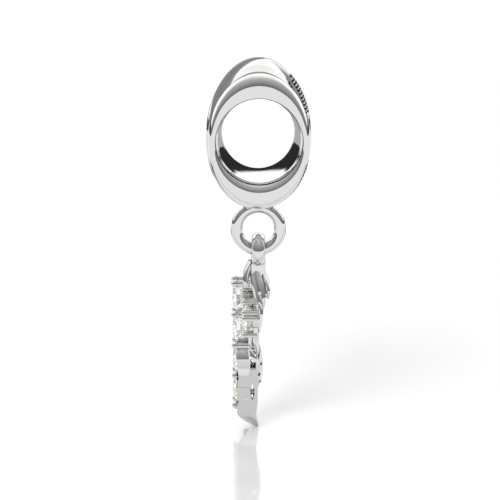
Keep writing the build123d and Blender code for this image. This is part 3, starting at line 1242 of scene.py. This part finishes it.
@dataclass(frozen=True)
class Seat:
    """A stone's seat: a wall round its girdle, then a cone down to the hole under its culet."""

    girdle_front: float
    radius: float
    girdle: float
    cone_depth: float
    hole_radius: float = 0.16

    @property
    def ledge(self) -> float:
        """The place along X where the cone starts, in mm."""
        return -self.girdle_front + self.girdle

    @property
    def hole(self) -> float:
        """The place along X where the cone meets the hole, in mm."""
        return self.ledge + self.cone_depth

    def open_base(self, radius: float, front: float, edge: float) -> list[tuple[float, float]]:
        """Gives the front of an open base, which lies behind the girdle and has the cone alone.

        Args:
            radius: The base's radius in mm.
            front: How far its front lies before the drop's middle, in mm.
            edge: Width of its bevel in mm.

        Returns:
            Places along X and radii, from the base's side round its front to the hole.
        """
        share = (-front - self.ledge) / self.cone_depth
        inner = self.radius - (self.radius - self.hole_radius) * share
        return [(-front + edge, radius), (-front, radius - edge), (-front, inner),
                (self.hole, self.hole_radius)]


@dataclass
class RowHeads(SubAssembly):
    """The four heads of the row: two open bases above, two closed cups below."""

    pitch: float = 1.98
    first: float = 2.99
    seat: Seat = Seat(girdle_front=1.29, radius=0.84, girdle=0.054, cone_depth=0.564)
    cup_radius: float = 0.94
    cup_lip: float = 0.04
    cup_depth: float = 0.76
    lip_rows: Outline = ((0.05, 0.0), (0.018, 0.006), (0.004, 0.02), (0.0, 0.04))
    lip_inside: float = 0.015
    base_radius: float = 0.60
    base_front: float = 0.94
    base_back: float = 0.52
    base_edge: float = 0.03
    flats: tuple[float, ...] = (1.0, 1.0, 0.91, 0.88)
    points: int = 128
    shade_angle: float = 30.0

    def cup(self) -> list[tuple[float, float]]:
        """Gives one closed cup, from its back round its lip and down its seat.

        Returns:
            Places along X and radii, in mm.
        """
        front = -self.seat.girdle_front - self.cup_lip
        back = front + self.cup_depth
        lip = [(front + behind, self.cup_radius - inward) for behind, inward in self.lip_rows]
        return [(back, self.cup_radius), *lip, (front, self.seat.radius + self.lip_inside),
                (front + self.lip_inside, self.seat.radius), (self.seat.ledge, self.seat.radius),
                (self.seat.hole, self.seat.hole_radius), (back, self.seat.hole_radius)]

    def base(self) -> list[tuple[float, float]]:
        """Gives one open base with its seat, as places along X and radii."""
        front = self.seat.open_base(self.base_radius, self.base_front, self.base_edge)
        return [(-self.base_back, self.base_radius), *front, (-self.base_back, self.seat.hole_radius)]

    def make(self) -> None:
        """Builds the four heads, with a flat filed on either side of the cups."""
        for step, rows in enumerate((self.base(), self.base(), self.cup(), self.cup())):
            rings = round_rings(rows, height=hung(self.first + step * self.pitch))
            head = loft("row_head_%d" % (step + 1), Axis.X, rings, self.points, Ends.JOINED)
            flat = self.flats[step] * MM
            for corner in head.data.vertices:
                corner.co.y = max(-flat, min(flat, corner.co.y))
            smooth(head, self.shade_angle)
            self.hang(head, Body.DROP)


@dataclass
class CupWebs(SubAssembly):
    """The thin webs, on either side, that join the lower cups to each other and to the foot. A span
    holds its start and end below the hinge, and its inner and outer face across the drop."""

    front: float = 1.28
    notch: float = 0.08
    back: float = 0.55
    spans: Sequence[tuple[float, float, float, float]] = ((7.30, 8.58, 0.80, 0.87),
                                                          (9.33, 9.73, 0.765, 0.835))
    edge: float = 0.012

    def make(self) -> None:
        """Builds the webs of both sides as one piece."""
        webs = []
        for side, (start, end, inner, outer) in product((-1, 1), self.spans):
            outline = ((-self.front, hung(start)), (-self.front + self.notch, hung((start + end) / 2)),
                       (-self.front, hung(end)), (-self.back, hung(end)), (-self.back, hung(start)))
            web = plate("cup_web", Axis.Y, outline, side * inner, side * outer)
            soften(web, self.edge)
            webs.append(web)
        self.hang(join(webs, "cup_webs"), Body.DROP)


@dataclass(frozen=True)
class Claw:
    """A claw: a round wire along X with a round head at its front."""

    front: float
    back: float
    radius: float
    tip_radius: float
    nose_steps: int = 7
    nose_place: float = 0.997
    nose_share: float = 0.08
    points: int = 24

    def make(self, name: str) -> Piece:
        """Builds one claw whose wire lies on the X axis.

        Args:
            name: The claw's name.

        Returns:
            The claw.
        """
        full = math.pi - math.asin(self.radius / self.tip_radius)
        last = 2 * self.nose_steps - 1
        rows = [(self.front - self.tip_radius * self.nose_place, self.tip_radius * self.nose_share)]
        for step in range(1, last + 1):
            turn = full * step / last
            rows.append((self.front - self.tip_radius * math.cos(turn), self.tip_radius * math.sin(turn)))
        rows.append((self.back, self.radius))
        return loft(name, Axis.X, round_rings(rows), self.points, Ends.FILLED)


@dataclass
class RowClaws(SubAssembly):
    """The claws of the row, a pair above, below and between its stones."""

    first: float = 2.00
    pitch: float = 1.98
    pairs: int = 5
    half_spread: float = 0.50
    claw: Claw = Claw(front=-1.39, back=-0.48, radius=0.19, tip_radius=0.25)

    def make(self) -> None:
        """Builds the claws as copies of one."""
        model = self.claw.make("claw")
        claws = []
        for step, side in product(range(self.pairs), (-1, 1)):
            place = (0.0, side * self.half_spread, hung(self.first + step * self.pitch))
            claws.append(copy_piece(model, "claw", place))
        drop_piece(model)
        self.hang(join(claws, "row_claws"), Body.DROP)


@dataclass
class SideHead(SubAssembly):
    """The head of one side stone: its base, its arms and its pairs of fine claws."""

    offset: float = 1.66
    below: float = 3.76
    seat: Seat = Seat(girdle_front=0.69, radius=0.86, girdle=0.055, cone_depth=0.581)
    base_radius: float = 0.62
    base_front: float = 0.36
    base_back: float = 0.08
    base_edge: float = 0.03
    arm_half: float = 0.23
    arm_front: float = 0.30
    arm_back: float = 0.02
    arm_start: float = 0.50
    arm_edge: float = 0.04
    spine_gap: float = 0.3
    reach: float = 1.02
    angles: tuple[float, ...] = (0.0, 90.0, 155.0, 270.0)
    half_pitch: float = 0.17
    claw: Claw = Claw(front=-0.83, back=-0.07, radius=0.15, tip_radius=0.17)
    points: int = 72

    @property
    def middle(self) -> tuple[float, float]:
        """The near head's middle, across and up, in mm."""
        return (-self.offset, hung(self.below))

    def base(self) -> Piece:
        """Builds the near head's round base with its seat and the hole under the culet.

        Returns:
            The base.
        """
        back, edge = self.base_back, self.base_edge
        rows = [(back, self.base_radius - edge), (back - edge, self.base_radius),
                *self.seat.open_base(self.base_radius, self.base_front, edge),
                (back, self.seat.hole_radius)]
        return loft("side_base", Axis.X, round_rings(rows, *self.middle), self.points, Ends.JOINED)

    def arm(self, angle: float) -> Piece:
        """Builds one arm of the near head, from its base out to a pair of claws.

        Args:
            angle: The arm's direction in degrees. The one at 0 runs in towards the spine.

        Returns:
            The arm.
        """
        end = self.offset - self.spine_gap if angle == 0.0 else self.reach
        outline = [turned(self.middle, angle, along, across) for along, across in
                   rectangle(self.arm_start, -self.arm_half, end, self.arm_half)]
        arm = plate("side_arm", Axis.X, outline, -self.arm_front, -self.arm_back)
        soften(arm, self.arm_edge)
        return arm

    def make(self) -> None:
        """Builds the near head and its mirror image."""
        model = self.claw.make("split_claw")
        pieces = [self.base()] + [self.arm(angle) for angle in self.angles]
        for angle, spread in product(self.angles, (-self.half_pitch, self.half_pitch)):
            spot = turned(self.middle, angle, self.reach, spread)
            pieces.append(copy_piece(model, "split_claw", (0.0, *spot)))
        drop_piece(model)
        near = join(pieces, "side_head_near")
        far = copy_piece(near, "side_head_far", mirrored=True)
        self.hang(near, Body.DROP)
        self.hang(far, Body.DROP)


@dataclass
class Stones:
    """The finish of each cut stone, which keeps its own faceted form."""

    finishes: tuple[tuple[str, str, tuple[str, ...]], ...] = (
        ("cubic_zirconia_clear", "F7F7F2", ("stone_1", "stone_2")),
        ("cubic_zirconia_green_glint", "E6F2E3", ("stone_3", "side_stone_near", "side_stone_far")),
        ("cubic_zirconia_yellow_glint", "F7F2D8", ("stone_4",)))

    def make(self) -> None:
        """Gives every stone its material."""
        for finish, colour, stones in self.finishes:
            material = CubicZirconia(finish, colour).make()
            for stone in stones:
                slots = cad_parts[stone].data.materials
                slots.clear()
                slots.append(material)
                LOG.info("%s: %s", stone, finish)


@dataclass
class Studio:
    """Pale floor, pale surround and soft light, with the camera at the picture's viewing angle. The
    surround's own sizes are in metres where their names say so."""

    floor_height: float = -18.34
    floor_size_m: float = 20.0
    floor_colour: str = "F8F8F9"
    shine: float = 0.30
    shine_roughness: float = 0.10
    shine_forward: float = 5.5
    shine_half: float = 5.0
    matt_start: float = 8.5
    paper_radius_m: float = 9.0
    paper_sides: int = 64
    paper_rings: int = 32
    paper_level: float = 1.1
    camera_place: Point = (-0.499, -44.39, 4.250)
    camera_pitch: float = 76.0
    camera_lens: float = 54.72
    camera_sensor: float = 36.0
    camera_reach_m: tuple[float, float] = (0.002, 100.0)
    key_strength: float = 1.05
    key_size: float = 30.0
    key_from: Point = (-11.6, -13.0, 18.3)
    sky_strength: float = 1.35
    sky_turn: tuple[float, float] = (-0.15, 0.35)
    front_sky: Outline = ((0.0, 0.135), (0.12, 0.17), (0.50, 0.28), (0.85, 0.39), (0.97, 0.56),
                          (1.0, 0.66))
    back_sky: Outline = ((0.0, 0.02), (0.10, 0.03), (0.135, 1.0), (1.0, 1.0))
    flag_half_width: float = 20.0
    flag_low: float = -7.2
    flag_high: float = 7.0
    flag_distance: float = 90.0
    flag_thickness: float = 1.0
    flag_level: float = 0.025
    card_level: float = 0.45
    low_flag_start: float = 24.0
    low_flag_gap: float = 2.0
    low_flag_place: tuple[float, float] = (0.1, 0.2)
    low_flag_level: float = 0.06

    def stage(self, piece: Piece, material: Material, hidden_from: Sequence[str] = ()) -> None:
        """Adds a finished piece of the studio.

        Args:
            piece: The piece.
            material: Its material.
            hidden_from: The kinds of rays that don't meet it.
        """
        piece.data.materials.append(material)
        for ray in hidden_from:
            setattr(piece, "visible_" + ray, False)

    def make_camera(self) -> None:
        """Places the camera."""
        data = bpy.data.cameras.new("camera")
        data.lens = self.camera_lens
        data.sensor_width = self.camera_sensor
        data.clip_start, data.clip_end = self.camera_reach_m
        camera = bpy.data.objects.new("camera", data)
        camera.location = Vector(self.camera_place) * MM
        camera.rotation_euler = (math.radians(self.camera_pitch), 0.0, 0.0)
        bpy.context.scene.collection.objects.link(camera)
        bpy.context.scene.camera = camera

    def make_floor(self) -> None:
        """Lays the pale floor that the charm's tip just touches: glossy by its tip, matt elsewhere."""
        floor = start_piece("floor", bpy.ops.mesh.primitive_plane_add, size=self.floor_size_m,
                            location=(0, 0, self.floor_height * MM))
        material, tree = new_material("white_acrylic_sheet")
        place = add_node(tree, "ShaderNodeTexCoord")
        split = add_node(tree, "ShaderNodeSeparateXYZ", links={"Vector": place.outputs["Object"]})
        shift = add_node(tree, "ShaderNodeMath", {1: self.shine_forward * MM}, {0: split.outputs["Y"]},
                         operation="ADD")
        away = add_node(tree, "ShaderNodeMath", links={0: shift.outputs["Value"]}, operation="ABSOLUTE")
        shine = add_node(tree, "ShaderNodeMapRange",
                         {"From Min": self.shine_half * MM, "From Max": self.matt_start * MM,
                          "To Min": self.shine, "To Max": 0.0}, {"Value": away.outputs["Value"]})
        paint = add_node(tree, "ShaderNodeBsdfDiffuse", {"Color": linear(self.floor_colour)})
        gloss = add_node(tree, "ShaderNodeBsdfGlossy",
                         {"Color": linear(WHITE), "Roughness": self.shine_roughness})
        mixed = add_node(tree, "ShaderNodeMixShader",
                         links={"Fac": shine.outputs["Result"], 1: paint.outputs["BSDF"],
                                2: gloss.outputs["BSDF"]})
        add_surface(tree, mixed.outputs["Shader"])
        self.stage(floor, material)

    def make_paper(self) -> None:
        """Puts up the white paper that only the camera sees behind the charm."""
        paper = start_piece("paper", bpy.ops.mesh.primitive_uv_sphere_add, segments=self.paper_sides,
                            ring_count=self.paper_rings, radius=self.paper_radius_m)
        self.stage(paper, glowing_white("white_paper_sweep", self.paper_level),
                   ("diffuse", "glossy", "transmission", "shadow", "volume_scatter"))

    def make_flags(self) -> None:
        """Hangs the dark flags and the grey card that the metal mirrors, out of the camera's sight."""
        half, near = self.flag_half_width, self.flag_distance
        back = near + self.flag_thickness
        flag = plate("flag", Axis.Y, rectangle(-half, self.flag_low, half, self.flag_high), near, back)
        card = plate("card", Axis.Y, rectangle(-half, self.floor_height, half, self.flag_low), near, back)
        # The low flag lies just over the floor behind the charm and leaves a gap before the card.
        lying = rectangle(-2.0 * half, self.low_flag_start, 2.0 * half, near - self.low_flag_gap)
        low, high = (self.floor_height + lift for lift in self.low_flag_place)
        low_flag = plate("low_flag", Axis.Z, lying, low, high)
        for piece, name, level in ((flag, "black_velvet_flag", self.flag_level),
                                   (card, "grey_card", self.card_level),
                                   (low_flag, "black_velvet_floor_flag", self.low_flag_level)):
            self.stage(piece, glowing_white(name, level), ("camera", "diffuse", "shadow"))

    def make_sky(self) -> None:
        """Sets the studio's surround light: dark at the horizon and bright overhead and behind."""
        world = bpy.data.worlds.new("studio")
        bpy.context.scene.world = world
        world.use_nodes = True
        tree = world.node_tree
        tree.nodes.clear()
        way = add_node(tree, "ShaderNodeTexCoord")
        split = add_node(tree, "ShaderNodeSeparateXYZ", links={"Vector": way.outputs["Generated"]})
        sides = []
        for stops in (self.front_sky, self.back_sky):
            ramp = add_node(tree, "ShaderNodeValToRGB", links={"Fac": split.outputs["Z"]})
            shape_ramp(ramp, stops)
            sides.append(ramp.outputs["Color"])
        start, end = self.sky_turn
        turn = add_node(tree, "ShaderNodeMapRange", {"From Min": start, "From Max": end},
                        {"Value": split.outputs["Y"]})
        mix = add_node(tree, "ShaderNodeMix", links={"Factor": turn.outputs["Result"], 6: sides[0],
                                                     7: sides[1]}, data_type="RGBA")
        light = add_node(tree, "ShaderNodeBackground", {"Strength": self.sky_strength},
                         {"Color": mix.outputs[2]})
        add_node(tree, "ShaderNodeOutputWorld", links={"Surface": light.outputs["Background"]})

    def make_key(self) -> None:
        """Hangs the soft key light high at the front left."""
        data = bpy.data.lights.new("key", "SUN")
        data.energy = self.key_strength
        data.angle = math.radians(self.key_size)
        key = bpy.data.objects.new("key", data)
        key.rotation_mode = "QUATERNION"
        key.rotation_quaternion = Vector(self.key_from).to_track_quat("Z", "Y")
        key.visible_glossy = False
        bpy.context.scene.collection.objects.link(key)

    def make(self) -> None:
        """Sets up the whole studio."""
        self.make_camera()
        self.make_floor()
        self.make_paper()
        self.make_flags()
        self.make_sky()
        self.make_key()
        bpy.context.scene.view_settings.view_transform = "Standard"


def build_bead(silver: Material) -> None:
    """Builds the bead with its straps, grains and ring.

    Args:
        silver: The finish of polished silver.
    """
    body = Bead(silver).make()
    over = Strap(silver, "strap_over", turn=26.0)
    under = Strap(silver, "strap_under", turn=-26.0, step=0.04, edge_fall=0.22)
    over.make()
    under.make()
    Milgrain(silver, "milgrain", under, over).make()
    # The sunken dark grains between the bright ones are painted shade in the crevices.
    Milgrain(PAINTED_SHADE_SILVER.make(), "milgrain_painted_shade", under, over, phase=0.5, sink=0.03).make()
    BailRing(silver).make()
    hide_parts("bead_bail")


def build_drop(silver: Material) -> None:
    """Builds the metal of the hanging drop.

    Args:
        silver: The finish of polished silver.
    """
    Eyelet(silver).make()
    for name, form, root, tip, side, width, thickness, bow in (
            ("middle_leaf", REAR_LEAF, (-0.30, -0.34, 1.12), (0.27, -1.20, 3.38), (1.0, 0.0, 0.36),
             0.68, 0.30, (0.0, -0.28, 0.06)),
            ("rear_leaf", REAR_LEAF, (0.17, -0.30, 1.30), (0.60, -0.98, 2.80), (1.0, 0.0, 0.36),
             0.48, 0.28, (0.0, -0.26, 0.06)),
            ("front_leaf", FRONT_LEAF, (-0.47, -0.30, 0.68), (-0.74, -0.76, 2.20), (1.0, 0.0, 0.2),
             0.38, 0.30, (-0.12, -0.05, 0.0)),
            ("brace", BRACE, (-0.14, -1.66, 4.66), (-0.26, -0.69, 6.05), (0.0, 1.0, 0.3),
             0.30, 0.42, (0.06, -0.12, -0.1))):
        Leaf(silver, name, form, root, tip, side, width, thickness, bow).make()
    spine = Spine(silver).make()
    for kind in (RowHeads, CupWebs, RowClaws, SideHead):
        kind(silver).make()
    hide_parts("drop_frame")


def main() -> None:
    """Builds every piece of the charm and the studio round it."""
    logging.basicConfig(level=logging.INFO, format="%(name)s: %(message)s")
    silver = SilverFinish().make()
    build_bead(silver)
    build_drop(silver)
    Stones().make()
    Studio().make()


if __name__ == "__main__":
    main()
